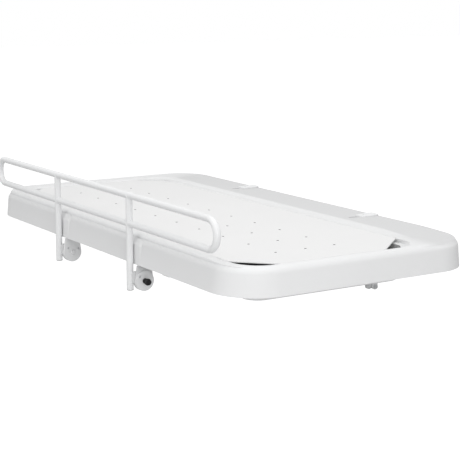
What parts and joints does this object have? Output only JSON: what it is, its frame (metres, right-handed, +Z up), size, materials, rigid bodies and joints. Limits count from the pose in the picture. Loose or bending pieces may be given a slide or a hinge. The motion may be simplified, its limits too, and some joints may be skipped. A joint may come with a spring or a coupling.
{
  "type": "shower change table",
  "caption": "Wall-hung fold-up shower change table: shallow plastic tray with a drained basin, a lift-out perforated lying sheet and a fold-down tubular side rail with a pull knob.",
  "frame": {"origin": "middle of the four wall bolts, on the wall face of the two brackets", "axes": "+X along the tray towards the end with the lock knob, +Y into the wall, +Z up"},
  "size_m": [1.4, 0.7427, 0.3159],
  "materials": {
    "tray_white": "smooth moulded, slightly glossy",
    "pan_white": "smooth moulded",
    "sheet_white": "fine satin lying surface",
    "cover_white": "satin moulded",
    "rail_white": "white powder coat",
    "plate_grey": "light grey powder coat",
    "hub_dark": "dark grey coat",
    "frame_grey": "grey powder coat",
    "bracket_grey": "grey powder coat",
    "knob_black": "black moulded",
    "plug_dark": "black push-in plug",
    "zinc_steel": "bright zinc plate",
    "drain_steel": "polished",
    "drain_plastic": "moulded",
    "buffer_rubber": "black rubber"
  },
  "bodies": {
    "wall_brackets": {"wall_bracket_left": "bracket_grey", "wall_bracket_right": "bracket_grey", "hinge_pin_left": "zinc_steel", "hinge_pin_right": "zinc_steel", "stop_buffer_left": "buffer_rubber", "stop_buffer_right": "buffer_rubber", "stop_bolt_left": "zinc_steel", "stop_bolt_right": "zinc_steel"},
    "table": {"tray_shell": "tray_white", "basin_pan": "pan_white", "drain_body": "drain_plastic", "drain_seal": "buffer_rubber", "drain_nut": "drain_plastic", "drain_strainer": "drain_steel", "sheet_rest_pads": "buffer_rubber", "rail_hinge_plate_left": "plate_grey", "rail_hinge_plate_right": "hub_dark", "pivot_pin_left": "zinc_steel", "neck_screws_left": "zinc_steel", "neck_screws_right": "zinc_steel", "disc_screws_left": "zinc_steel", "disc_screw_right": "zinc_steel", "index_disc_right": "plate_grey", "lock_housing": "knob_black", "lock_spring": "zinc_steel", "frame_arm_left": "frame_grey", "frame_arm_right": "frame_grey", "front_strap_left": "frame_grey", "front_strap_right": "frame_grey", "pan_rest_pad_left": "buffer_rubber", "pan_rest_pad_right": "buffer_rubber", "front_crossbar": "frame_grey", "rear_crossbar": "frame_grey", "hinge_plate_left": "frame_grey", "hinge_plate_right": "frame_grey", "hinge_cover_left": "cover_white", "hinge_cover_right": "cover_white", "cover_screw_left": "zinc_steel", "cover_screw_right": "zinc_steel"},
    "rail": {"rail_top_bar": "rail_white", "rail_bend_left": "rail_white", "rail_bend_right": "rail_white", "rail_post_left": "rail_white", "rail_post_right": "rail_white", "post_end_plug_left": "plug_dark", "post_end_plug_right": "plug_dark", "rail_low_bar_left": "rail_white", "rail_low_bar_middle": "rail_white", "rail_low_bar_right": "rail_white", "rail_hub_left": "hub_dark", "rail_hub_right": "hub_dark"},
    "lock": {"lock_knob": "knob_black", "lock_plunger": "zinc_steel"},
    "sheet": {"lying_sheet": "sheet_white"}
  },
  "joints": [
    {"name": "table_fold", "type": "hinge", "parent": "wall_brackets", "child": "table", "pos_m": [0, -0.019, 0.107], "axis": [-1, 0, 0], "range_deg": [0, 90]},
    {"name": "rail_fold", "type": "hinge", "parent": "table", "child": "rail", "pos_m": [0, -0.702, 0.0013], "axis": [1, 0, 0], "range_deg": [0, 180]},
    {"name": "lock_pull", "type": "slide", "parent": "table", "child": "lock", "axis": [1, 0, 0], "range_m": [0, 0.0045], "stiffness_N_per_m": 450, "springref_m": -0.003},
    {"name": "sheet_lift", "type": "slide", "parent": "table", "child": "sheet", "axis": [0, 0, 1], "range_m": [0, 0.25]}
  ]
}
